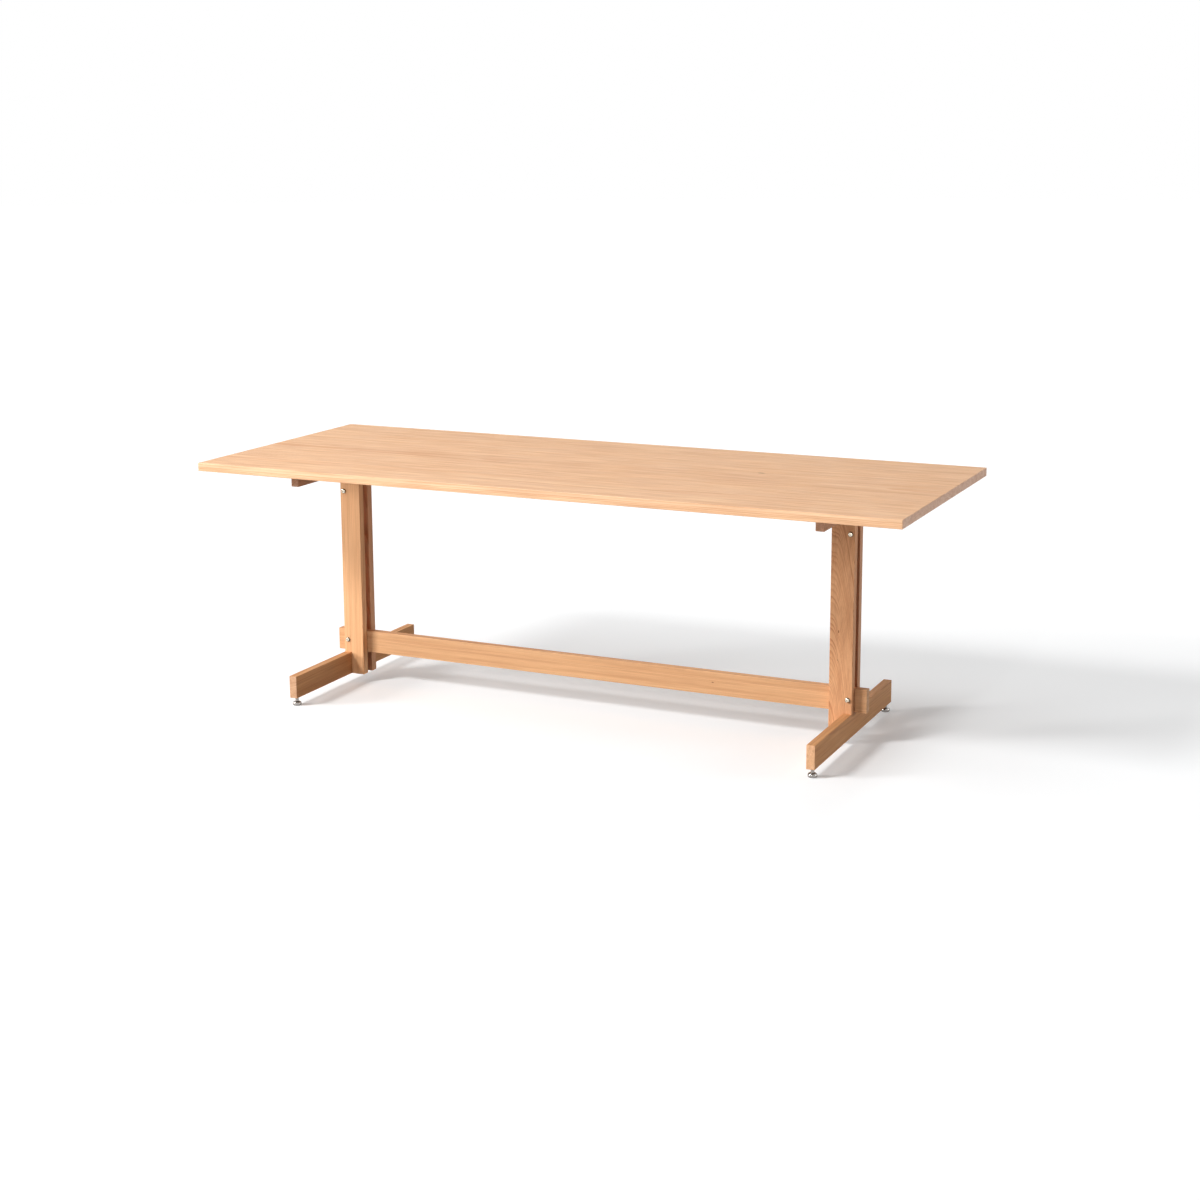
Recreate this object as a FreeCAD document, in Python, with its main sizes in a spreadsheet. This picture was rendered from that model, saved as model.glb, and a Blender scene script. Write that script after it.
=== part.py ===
import FreeCAD, Part
import math
import os

import Sketcher

# Trestle dining table: boards glued into one top, two bolted trestles, a low stretcher and levelling glides.
# The origin is on the floor under the middle of the top: +X along the top, +Y to the back, +Z up.
# All sizes are in millimetres.

SIZES = {
    # Top
    "table_height": 720,
    "top_length": 2100,
    "top_thickness": 24,
    "board_width": 165,
    # Trestles, whose outer faces stand in from the ends of the top
    "trestle_inset": 240,
    "post_width": 66,
    "post_thickness": 24,
    "foot_length": 680,
    "foot_height": 66,
    "foot_thickness": 24,
    "bearer_height": 48,
    "bearer_thickness": 24,
    # Stretcher, which also sets the gap between the two posts of a trestle and runs past them
    "stretcher_overrun": 35,
    "stretcher_height": 66,
    "stretcher_thickness": 24,
    # Eased edges of all the timber
    "edge_round": 1,
    # Through bolts with domed heads, their sleeve nuts and the spacers on the upper ones
    "bolt_edge_distance": 12,
    "lower_bolt_rise": 39,
    "upper_bolt_drop": 104,
    "bolt_diameter": 8,
    "bolt_head_diameter": 14,
    "bolt_head_height": 4.4,
    "bolt_head_rim": 1.2,
    "bolt_socket_flats": 5,
    "bolt_socket_depth": 2.4,
    "bolt_hole_clearance": 0.2,
    "bolt_engagement": 11,
    "sleeve_wall": 0.95,
    "sleeve_length": 18,
    "sleeve_bore_depth": 14,
    "sleeve_end_gap": 1,
    "thread_clearance": 0.05,
    "spacer_wall": 1.8,
    # Dowels that pin the foot beams and the bearers into the laps of the posts
    "dowel_diameter": 8,
    "dowel_cover_in_beam": 8,
    "dowel_depth_in_post": 18,
    "dowel_end_gap": 1,
    "dowel_clearance": 0.05,
    "foot_dowel_spacing": 32,
    "bearer_dowel_spacing": 22,
    # Screws and washers that hold the top down on the bearers
    "screw_diameter": 5,
    "screw_head_diameter": 9,
    "screw_head_height": 3.5,
    "screw_socket_flats": 3,
    "screw_socket_depth": 2,
    "screw_cover_in_top": 8,
    "screw_tip_gap": 1.5,
    "screw_clearance": 0.05,
    "screw_hole_slack": 1.5,
    "screw_joint_distance": 22.5,
    "screw_end_distance": 25,
    "washer_margin": 1.5,
    "washer_thickness": 1.5,
    "washer_clearance": 0.2,
    "counterbore_clearance": 0.5,
    "counterbore_depth": 22,
    # Levelling glides: a swivelling pad on a threaded stem, which runs in an insert in the foot beam
    "glide_end_distance": 18,
    "pad_diameter": 26,
    "pad_height": 12,
    "pad_dome_round": 6,
    "pad_foot_round": 1.2,
    "pad_floor": 4,
    "stem_diameter": 10,
    "stem_tip_chamfer": 1,
    "stem_neck_step": 1.5,
    "stem_flange_height": 2.5,
    "stem_shoulder_gap": 0.3,
    "stem_flats_depth": 1,
    "stem_flats_height": 6,
    "stem_flats_rise": 1.5,
    "swivel_clearance": 0.1,
    "swivel_play": 0.3,
    "insert_wall": 1.95,
    "insert_length": 25,
    "insert_clearance": 0.05,
    "levelling_raise": 12,
    "levelling_lower": 10,
    "pad_headroom": 3,
    "stem_hole_clearance": 0.5,
    "stem_hole_end_gap": 2,
}
BOARD_COUNT = 5
SIDES = {"left": -1, "right": 1}
FACES = {"front": -1, "back": 1}

# Places worked out from the sizes, written as expressions on the sheet
UNDERSIDE = "(Sizes.table_height - Sizes.top_thickness)"
OUTER_FACE = "(Sizes.top_length / 2 - Sizes.trestle_inset)"
FOOT_RISE = "(Sizes.pad_height + Sizes.levelling_lower + Sizes.pad_headroom)"
FOOT_TOP = f"({FOOT_RISE} + Sizes.foot_height)"
GAP_FACE = "(Sizes.stretcher_thickness / 2)"
POST_MIDDLE = f"({GAP_FACE} + Sizes.post_thickness / 2)"
POST_OUTSIDE = f"({GAP_FACE} + Sizes.post_thickness)"
BOLT_X = f"({OUTER_FACE} - Sizes.bolt_edge_distance)"
LOWER_BOLT_Z = f"({FOOT_TOP} + Sizes.lower_bolt_rise)"
UPPER_BOLT_Z = f"({UNDERSIDE} - Sizes.upper_bolt_drop)"
FOOT_X = f"({OUTER_FACE} - Sizes.foot_thickness / 2)"
BEARER_X = f"({OUTER_FACE} - Sizes.bearer_thickness / 2)"
GLIDE_Y = "(Sizes.foot_length / 2 - Sizes.glide_end_distance)"
STRETCHER_LENGTH = f"(2 * ({OUTER_FACE} + Sizes.stretcher_overrun))"
OUTER_JOINT = f"({BOARD_COUNT / 2 - 1} * Sizes.board_width)"
OUTER_SCREW_Y = f"({OUTER_JOINT} + Sizes.screw_joint_distance)"
# Distances of the top screws from the middle: two in the middle board, one in every other board
SCREW_OFFSETS = [
    "(Sizes.board_width / 2 - Sizes.screw_joint_distance)",
    "Sizes.board_width",
    OUTER_SCREW_Y,
]
BEARER_LENGTH = f"(2 * ({OUTER_SCREW_Y} + Sizes.screw_end_distance))"
BOLT_HOLE_RADIUS = "(Sizes.bolt_diameter / 2 + Sizes.bolt_hole_clearance)"
DOWEL_HOLE_RADIUS = "(Sizes.dowel_diameter / 2 + Sizes.dowel_clearance)"
THREAD_BORE_RADIUS = "(Sizes.bolt_diameter / 2 + Sizes.thread_clearance)"
SLEEVE_RADIUS = f"({THREAD_BORE_RADIUS} + Sizes.sleeve_wall)"
STEM_NECK_RADIUS = "(Sizes.stem_diameter / 2 - Sizes.stem_neck_step)"
STEM_BORE_RADIUS = "(Sizes.stem_diameter / 2 + Sizes.thread_clearance)"
INSERT_RADIUS = f"({STEM_BORE_RADIUS} + Sizes.insert_wall)"
WASHER_RADIUS = "(Sizes.screw_head_diameter / 2 + Sizes.washer_margin)"
SCREW_BITE = "(Sizes.top_thickness - Sizes.screw_cover_in_top)"

# How near an edge has to be to a place to count as lying there
TOUCH = 0.001

doc = FreeCAD.newDocument("TrestleTable")
sheet = doc.addObject("Spreadsheet::Sheet", "Sizes")
for row, (alias, value) in enumerate(SIZES.items(), start=1):
    sheet.set(f"A{row}", alias)
    sheet.set(f"B{row}", str(value))
    sheet.setAlias(f"B{row}", alias)
doc.recompute()

nodes = []


def add_node(piece, label):
    """Gives a finished piece its label and puts it on the list of pieces to write."""
    piece.Label = label
    nodes.append(piece)


def place(piece, x="0", y="0", z="0"):
    """Binds the three coordinates of a piece's placement to expressions."""
    for axis, expression in zip("xyz", (x, y, z)):
        piece.setExpression(f".Placement.Base.{axis}", expression)


# Sketches and features of a body


def new_sketch(body, name, plane_role, offset=None):
    """Makes a sketch on one of the body's own origin planes, moved along the plane's normal by an offset."""
    sketch = body.newObject("Sketcher::SketchObject", name)
    plane = [feature for feature in body.Origin.OriginFeatures if feature.Role == plane_role][0]
    sketch.AttachmentSupport = [(plane, "")]
    sketch.MapMode = "FlatFace"
    if offset:
        sketch.setExpression(".AttachmentOffset.Base.z", offset)
    return sketch


def bind(sketch, kind, geometry, point, expression):
    """Adds a coordinate constraint of one point and binds it to an expression."""
    index = sketch.addConstraint(Sketcher.Constraint(kind, geometry, point, 0.0))
    sketch.setExpression(f"Constraints[{index}]", expression)


def draw_outline(sketch, corners):
    """Draws a closed outline of straight lines whose corners sit at pairs of expressions."""
    count = len(corners)
    start = sketch.GeometryCount
    ring = [2 * math.pi * index / count for index in range(count)]
    points = [FreeCAD.Vector(math.cos(angle), math.sin(angle), 0) for angle in ring]
    for index in range(count):
        sketch.addGeometry(Part.LineSegment(points[index], points[(index + 1) % count]), False)
    for index in range(count):
        following = start + (index + 1) % count
        sketch.addConstraint(Sketcher.Constraint("Coincident", start + index, 2, following, 1))
    for index, (across, up) in enumerate(corners):
        bind(sketch, "DistanceX", start + index, 1, across)
        bind(sketch, "DistanceY", start + index, 1, up)


def draw_rectangle(sketch, left, right, low, high):
    """Draws a rectangle between four expressions."""
    draw_outline(sketch, [(left, low), (right, low), (right, high), (left, high)])


def draw_circles(sketch, centres, radius):
    """Draws equal circles whose centres sit at pairs of expressions."""
    for across, up in centres:
        index = sketch.addGeometry(Part.Circle(FreeCAD.Vector(0, 0, 0), FreeCAD.Vector(0, 0, 1), 1), False)
        size = sketch.addConstraint(Sketcher.Constraint("Radius", index, 1.0))
        sketch.setExpression(f"Constraints[{size}]", radius)
        bind(sketch, "DistanceX", index, 3, across)
        bind(sketch, "DistanceY", index, 3, up)


def draw_hexagon(sketch, flats):
    """Draws a hexagon about the sketch's origin from its width across flats."""
    turns = [math.pi / 3 * index for index in range(6)]
    corner = f"{flats} / sqrt(3)"
    shares = [(math.cos(turn), math.sin(turn)) for turn in turns]
    draw_outline(sketch, [(f"{across:.9f} * {corner}", f"{up:.9f} * {corner}") for across, up in shares])


def pad(body, sketch, length, against_normal=False):
    """Pads a sketch along its normal, or against it."""
    feature = body.newObject("PartDesign::Pad", sketch.Name + "Pad")
    feature.Profile = sketch
    feature.Reversed = against_normal
    feature.setExpression("Length", length)
    doc.recompute()


def cut(body, sketch, depth, along_normal):
    """Cuts a sketch into the body to a depth, along the sketch's normal or against it."""
    before = body.Shape.Volume
    feature = body.newObject("PartDesign::Pocket", sketch.Name + "Cut")
    feature.Profile = sketch
    feature.Reversed = along_normal
    feature.setExpression("Length", depth)
    doc.recompute()
    if body.Shape.Volume >= before:
        raise RuntimeError(f"{feature.Name} cuts nothing")


def revolve(body, sketch):
    """Turns a sketch once round its own vertical axis."""
    feature = body.newObject("PartDesign::Revolution", sketch.Name + "Turned")
    feature.Profile = sketch
    feature.ReferenceAxis = (sketch, ["V_Axis"])
    feature.Angle = 360
    doc.recompute()


def round_edges(body, radius, wanted):
    """Rounds the edges of the body's last feature that the wanted test picks."""
    base = body.Tip
    names = [f"Edge{index}" for index, edge in enumerate(base.Shape.Edges, start=1) if wanted(edge)]
    feature = body.newObject("PartDesign::Fillet", base.Name + "Rounded")
    feature.Base = (base, names)
    feature.setExpression("Radius", radius)
    doc.recompute()


def any_edge(edge):
    """Picks every edge."""
    return True


def turned_body(name, plane_role, profile):
    """Makes a body by turning a half profile of (radius, height) expressions round its axis."""
    body = doc.addObject("PartDesign::Body", name)
    sketch = new_sketch(body, name + "Profile", plane_role)
    draw_outline(sketch, profile)
    revolve(body, sketch)
    return body


# Top


def pilot_hole_places(board_middle):
    """Gives the screw places of both bearers, across and along one board, from the middle of that board."""
    return [
        (f"{side} * {BEARER_X}", f"{face} * {offset} - ({board_middle})")
        for side in SIDES.values()
        for face in FACES.values()
        for offset in SCREW_OFFSETS
    ]


def make_top_board(index):
    """Makes one board of the top, eased where it is on the outside, with pilot holes for the screws."""
    body = doc.addObject("PartDesign::Body", f"TopBoard{index}")
    from_middle = index - (BOARD_COUNT + 1) / 2
    board_middle = f"{from_middle} * Sizes.board_width"
    blank = new_sketch(body, f"TopBoard{index}Blank", "XY_Plane")
    half_length = "Sizes.top_length / 2"
    half_width = "Sizes.board_width / 2"
    draw_rectangle(blank, f"-{half_length}", half_length, f"-{half_width}", half_width)
    pad(body, blank, "Sizes.top_thickness")
    outer_edges = []
    if index == 1:
        outer_edges.append(-SIZES["board_width"] / 2)
    if index == BOARD_COUNT:
        outer_edges.append(SIZES["board_width"] / 2)

    def outside(edge):
        across = edge.BoundBox.Center.y
        runs_across = edge.BoundBox.YLength > SIZES["board_width"] / 2
        return runs_across or any(math.isclose(across, outer, abs_tol=TOUCH) for outer in outer_edges)

    round_edges(body, "Sizes.edge_round", outside)
    pilots = new_sketch(body, f"TopBoard{index}Pilots", "XY_Plane")
    draw_circles(pilots, pilot_hole_places(board_middle), "Sizes.screw_diameter / 2 + Sizes.screw_clearance")
    cut(body, pilots, f"{SCREW_BITE} + Sizes.screw_tip_gap", along_normal=True)
    place(body, y=board_middle, z=UNDERSIDE)
    add_node(body, f"top_board_{index}")


# Trestles


def dowel_places(beam_height, spacing, faces):
    """Gives the dowel places of a lap, across and up the beam, two for each post."""
    return [
        (f"{face} * {POST_MIDDLE}", f"{beam_height} / 2 + {step} * {spacing} / 2")
        for face in faces
        for step in (-1, 1)
    ]


def make_beam(side_name, role, length, height, thickness, dowel_spacing, bottom):
    """Makes a foot beam or a bearer with its dowel holes: x = 0 on its lap face, z = 0 on its underside."""
    side = SIDES[side_name]
    name = side_name.capitalize() + role
    body = doc.addObject("PartDesign::Body", name)
    blank = new_sketch(body, name + "Blank", "YZ_Plane")
    draw_rectangle(blank, f"-{length} / 2", f"{length} / 2", "0", height)
    pad(body, blank, thickness, against_normal=side < 0)
    round_edges(body, "Sizes.edge_round", any_edge)
    dowel_holes = new_sketch(body, name + "DowelHoles", "YZ_Plane")
    draw_circles(dowel_holes, dowel_places(height, dowel_spacing, FACES.values()), DOWEL_HOLE_RADIUS)
    cut(body, dowel_holes, f"{thickness} - Sizes.dowel_cover_in_beam", along_normal=side > 0)
    place(body, x=f"{side} * ({OUTER_FACE} - {thickness})", z=bottom)
    return body


def make_foot_beam(side_name):
    """Makes a foot beam with a stepped hole at each end for a glide's insert and its stem."""
    body = make_beam(side_name, "FootBeam", "Sizes.foot_length", "Sizes.foot_height", "Sizes.foot_thickness",
                     "Sizes.foot_dowel_spacing", FOOT_RISE)
    side = SIDES[side_name]
    centres = [(f"{side} * Sizes.foot_thickness / 2", f"{face} * {GLIDE_Y}") for face in FACES.values()]
    insert_holes = new_sketch(body, body.Name + "InsertHoles", "XY_Plane")
    draw_circles(insert_holes, centres, f"{INSERT_RADIUS} + Sizes.insert_clearance")
    cut(body, insert_holes, "Sizes.insert_length", along_normal=True)
    stem_holes = new_sketch(body, body.Name + "StemHoles", "XY_Plane")
    draw_circles(stem_holes, centres, "Sizes.stem_diameter / 2 + Sizes.stem_hole_clearance")
    depth = "Sizes.insert_length + Sizes.levelling_raise + Sizes.levelling_lower + Sizes.stem_hole_end_gap"
    cut(body, stem_holes, depth, along_normal=True)
    add_node(body, f"{side_name}_foot_beam")


def make_bearer(side_name):
    """Makes a bearer with counterbored holes for the screws that hold the top."""
    body = make_beam(side_name, "Bearer", BEARER_LENGTH, "Sizes.bearer_height", "Sizes.bearer_thickness",
                     "Sizes.bearer_dowel_spacing", f"{UNDERSIDE} - Sizes.bearer_height")
    side = SIDES[side_name]
    middle = f"{side} * Sizes.bearer_thickness / 2"
    centres = [(middle, f"{face} * {offset}") for face in FACES.values() for offset in SCREW_OFFSETS]
    counterbores = new_sketch(body, body.Name + "Counterbores", "XY_Plane")
    draw_circles(counterbores, centres, f"{WASHER_RADIUS} + Sizes.counterbore_clearance")
    cut(body, counterbores, "Sizes.counterbore_depth", along_normal=True)
    screw_holes = new_sketch(body, body.Name + "ScrewHoles", "XY_Plane")
    draw_circles(screw_holes, centres, "Sizes.screw_diameter / 2 + Sizes.screw_hole_slack")
    cut(body, screw_holes, "Sizes.bearer_height", along_normal=True)
    add_node(body, f"{side_name}_bearer")


def make_post(side_name, face_name):
    """Makes a post with its two laps: x = 0 on its outer face, y = 0 in the gap, z = 0 at its lower end."""
    side = SIDES[side_name]
    face = FACES[face_name]
    name = side_name.capitalize() + face_name.capitalize() + "Post"
    body = doc.addObject("PartDesign::Body", name)
    height = f"({UNDERSIDE} - {FOOT_RISE})"
    upper_lap = f"({height} - Sizes.bearer_height)"
    inner = f"{-side} * Sizes.post_width"
    foot_lap = f"{-side} * Sizes.foot_thickness"
    bearer_lap = f"{-side} * Sizes.bearer_thickness"
    profile = [
        (foot_lap, "0"),
        (inner, "0"),
        (inner, height),
        (bearer_lap, height),
        (bearer_lap, upper_lap),
        ("0", upper_lap),
        ("0", "Sizes.foot_height"),
        (foot_lap, "Sizes.foot_height"),
    ]
    blank = new_sketch(body, name + "Blank", "XZ_Plane")
    draw_outline(blank, profile)
    pad(body, blank, "Sizes.post_thickness", against_normal=face > 0)
    longest_lap = max(SIZES["foot_height"], SIZES["bearer_height"])

    def long_upright(edge):
        return edge.BoundBox.ZLength > longest_lap + SIZES["post_width"]

    round_edges(body, "Sizes.edge_round", long_upright)

    bolt_x = f"{-side} * Sizes.bolt_edge_distance"
    bolt_centres = [
        (bolt_x, f"{LOWER_BOLT_Z} - {FOOT_RISE}"),
        (bolt_x, f"{UPPER_BOLT_Z} - {FOOT_RISE}"),
    ]
    bolt_holes = new_sketch(body, name + "BoltHoles", "XZ_Plane")
    draw_circles(bolt_holes, bolt_centres, BOLT_HOLE_RADIUS)
    cut(body, bolt_holes, "Sizes.post_thickness", along_normal=face < 0)
    if face > 0:
        sleeve_holes = new_sketch(body, name + "SleeveHoles", "XZ_Plane", "-Sizes.post_thickness")
        draw_circles(sleeve_holes, bolt_centres, f"{SLEEVE_RADIUS} + Sizes.bolt_hole_clearance")
        cut(body, sleeve_holes, "Sizes.sleeve_length + Sizes.sleeve_end_gap", along_normal=True)

    y_middle = f"{face} * Sizes.post_thickness / 2"
    laps = {
        "Foot": ("Sizes.foot_thickness", "0", "Sizes.foot_height", "Sizes.foot_dowel_spacing"),
        "Bearer": ("Sizes.bearer_thickness", upper_lap, "Sizes.bearer_height", "Sizes.bearer_dowel_spacing"),
    }
    for lap_name, (depth, low, lap_height, spacing) in laps.items():
        middle = f"{low} + {lap_height} / 2"
        centres = [(y_middle, f"{middle} + {step} * {spacing} / 2") for step in (-1, 1)]
        dowel_holes = new_sketch(body, name + lap_name + "DowelHoles", "YZ_Plane", f"{-side} * {depth}")
        draw_circles(dowel_holes, centres, DOWEL_HOLE_RADIUS)
        cut(body, dowel_holes, "Sizes.dowel_depth_in_post + Sizes.dowel_end_gap", along_normal=side < 0)
    place(body, x=f"{side} * {OUTER_FACE}", y=f"{face} * {GAP_FACE}", z=FOOT_RISE)
    add_node(body, f"{side_name}_{face_name}_post")


def make_stretcher():
    """Makes the stretcher, which lies on both foot beams between the posts and takes the lower bolts."""
    body = doc.addObject("PartDesign::Body", "Stretcher")
    half_length = f"{STRETCHER_LENGTH} / 2"
    blank = new_sketch(body, "StretcherBlank", "XZ_Plane", f"-{GAP_FACE}")
    draw_rectangle(blank, f"-{half_length}", half_length, "0", "Sizes.stretcher_height")
    pad(body, blank, "Sizes.stretcher_thickness")
    round_edges(body, "Sizes.edge_round", any_edge)
    bolt_holes = new_sketch(body, "StretcherBoltHoles", "XZ_Plane", f"-{GAP_FACE}")
    centres = [(f"{side} * {BOLT_X}", "Sizes.lower_bolt_rise") for side in SIDES.values()]
    draw_circles(bolt_holes, centres, BOLT_HOLE_RADIUS)
    cut(body, bolt_holes, "Sizes.stretcher_thickness", along_normal=True)
    place(body, z=FOOT_TOP)
    add_node(body, "stretcher")


# Fasteners, each kind a group of equal pieces


def group(pieces, label):
    """Joins equal pieces into one node of separate solids."""
    compound = doc.addObject("Part::Compound", "".join(word.capitalize() for word in label.split("_")))
    compound.Links = pieces
    doc.recompute()
    add_node(compound, label)


def cylinder(name, radius, height):
    """Makes a plain round bar along +Z."""
    bar = doc.addObject("Part::Cylinder", name)
    bar.setExpression("Radius", radius)
    bar.setExpression("Height", height)
    return bar


def tube(name, outer_radius, inner_radius, height):
    """Makes a plain tube along +Z."""
    shell = doc.addObject("Part::Cut", name)
    shell.Base = cylinder(name + "Outside", outer_radius, height)
    shell.Tool = cylinder(name + "Bore", inner_radius, height)
    doc.recompute()
    return shell


def lie_along(piece, direction):
    """Turns a piece made along +Z to lie along another direction."""
    piece.Placement.Rotation = FreeCAD.Rotation(FreeCAD.Vector(0, 0, 1), FreeCAD.Vector(*direction))


def dome_head(body, top_faces_back):
    """Rounds the rim of a bolt's head into a dome and sinks a hexagon socket in it."""
    head_height = "Sizes.bolt_head_height"
    rim = SIZES["bolt_head_diameter"] / 2

    def crown_edge(edge):
        box = edge.BoundBox
        on_top = math.isclose(abs(box.Center.y), SIZES["bolt_head_height"], abs_tol=TOUCH)
        return on_top and box.XLength > rim

    round_edges(body, f"{head_height} - Sizes.bolt_head_rim", crown_edge)
    offset = f"-{head_height}" if top_faces_back else head_height
    socket = new_sketch(body, body.Name + "Socket", "XZ_Plane", offset)
    draw_hexagon(socket, "Sizes.bolt_socket_flats")
    cut(body, socket, "Sizes.bolt_socket_depth", along_normal=top_faces_back)


def bolt_places():
    """Gives a name, the side and the height of each through bolt."""
    heights = {"Lower": LOWER_BOLT_Z, "Upper": UPPER_BOLT_Z}
    return [
        (side_name.capitalize() + level, side, height)
        for side_name, side in SIDES.items()
        for level, height in heights.items()
    ]


def make_bolts_and_nuts():
    """Makes the through bolts, heads to the front, and the sleeve nuts that take them from the back."""
    head = "Sizes.bolt_head_diameter / 2"
    shank = "Sizes.bolt_diameter / 2"
    stack = "(2 * Sizes.post_thickness + Sizes.stretcher_thickness)"
    shank_length = f"{stack} - Sizes.sleeve_length + Sizes.bolt_engagement"
    bore_floor = "Sizes.sleeve_bore_depth - Sizes.sleeve_length"
    bolt_profile = [
        ("0", "-Sizes.bolt_head_height"),
        (head, "-Sizes.bolt_head_height"),
        (head, "0"),
        (shank, "0"),
        (shank, shank_length),
        ("0", shank_length),
    ]
    nut_profile = [
        ("0", bore_floor),
        (THREAD_BORE_RADIUS, bore_floor),
        (THREAD_BORE_RADIUS, "-Sizes.sleeve_length"),
        (SLEEVE_RADIUS, "-Sizes.sleeve_length"),
        (SLEEVE_RADIUS, "0"),
        (head, "0"),
        (head, "Sizes.bolt_head_height"),
        ("0", "Sizes.bolt_head_height"),
    ]
    bolts = []
    nuts = []
    for place_name, side, height in bolt_places():
        bolt = turned_body(place_name + "Bolt", "XY_Plane", bolt_profile)
        dome_head(bolt, top_faces_back=False)
        place(bolt, x=f"{side} * {BOLT_X}", y=f"-{POST_OUTSIDE}", z=height)
        bolts.append(bolt)
        nut = turned_body(place_name + "Nut", "XY_Plane", nut_profile)
        dome_head(nut, top_faces_back=True)
        place(nut, x=f"{side} * {BOLT_X}", y=POST_OUTSIDE, z=height)
        nuts.append(nut)
    group(bolts, "through_bolts")
    group(nuts, "sleeve_nuts")


def make_spacers():
    """Makes the spacers that keep the posts apart on the upper bolts."""
    spacers = []
    for side_name, side in SIDES.items():
        outer_radius = f"{BOLT_HOLE_RADIUS} + Sizes.spacer_wall"
        spacer = tube(side_name.capitalize() + "Spacer", outer_radius, BOLT_HOLE_RADIUS,
                      "Sizes.stretcher_thickness")
        lie_along(spacer, (0, 1, 0))
        place(spacer, x=f"{side} * {BOLT_X}", y=f"-{GAP_FACE}", z=UPPER_BOLT_Z)
        spacers.append(spacer)
    group(spacers, "post_spacers")


def make_dowels(label, beam_thickness, beam_bottom, beam_height, spacing):
    """Makes the dowels across the laps of one kind of beam on both trestles."""
    dowels = []
    beam_end = f"({OUTER_FACE} - Sizes.dowel_cover_in_beam - Sizes.dowel_end_gap)"
    depth_in_beam = f"({beam_thickness} - Sizes.dowel_cover_in_beam - Sizes.dowel_end_gap)"
    length = f"{depth_in_beam} + Sizes.dowel_depth_in_post"
    for side_name, side in SIDES.items():
        for number, (across, up) in enumerate(dowel_places(beam_height, spacing, FACES.values()), start=1):
            dowel = cylinder(f"{side_name}_{label}_{number}", "Sizes.dowel_diameter / 2", length)
            lie_along(dowel, (-side, 0, 0))
            place(dowel, x=f"{side} * {beam_end}", y=across, z=f"{beam_bottom} + {up}")
            dowels.append(dowel)
    group(dowels, label)


def make_top_screws():
    """Makes the screws and washers that hold the top from below, in the counterbores of the bearers."""
    head = "Sizes.screw_head_diameter / 2"
    shank = "Sizes.screw_diameter / 2"
    grip = "(Sizes.washer_thickness + Sizes.bearer_height - Sizes.counterbore_depth)"
    tip = f"{grip} + {SCREW_BITE}"
    tip_start = f"{tip} - {shank}"
    profile = [
        ("0", "-Sizes.screw_head_height"),
        (head, "-Sizes.screw_head_height"),
        (head, "0"),
        (shank, "0"),
        (shank, tip_start),
        ("0", tip),
    ]
    seat = f"({UNDERSIDE} - Sizes.bearer_height + Sizes.counterbore_depth)"
    screws = []
    washers = []
    places = [
        (f"{side} * {BEARER_X}", f"{face} * {offset}")
        for side in SIDES.values()
        for face in FACES.values()
        for offset in SCREW_OFFSETS
    ]
    for number, (x, y) in enumerate(places, start=1):
        screw = turned_body(f"TopScrew{number}", "XZ_Plane", profile)
        socket = new_sketch(screw, f"TopScrew{number}Socket", "XY_Plane", "-Sizes.screw_head_height")
        draw_hexagon(socket, "Sizes.screw_socket_flats")
        cut(screw, socket, "Sizes.screw_socket_depth", along_normal=True)
        place(screw, x=x, y=y, z=f"{seat} - Sizes.washer_thickness")
        screws.append(screw)
        washer_bore = "Sizes.screw_diameter / 2 + Sizes.washer_clearance"
        washer = tube(f"ScrewWasher{number}", WASHER_RADIUS, washer_bore, "Sizes.washer_thickness")
        place(washer, x=x, y=y, z=f"{seat} - Sizes.washer_thickness")
        washers.append(washer)
    group(screws, "top_screws")
    group(washers, "screw_washers")


# Levelling glides


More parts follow.
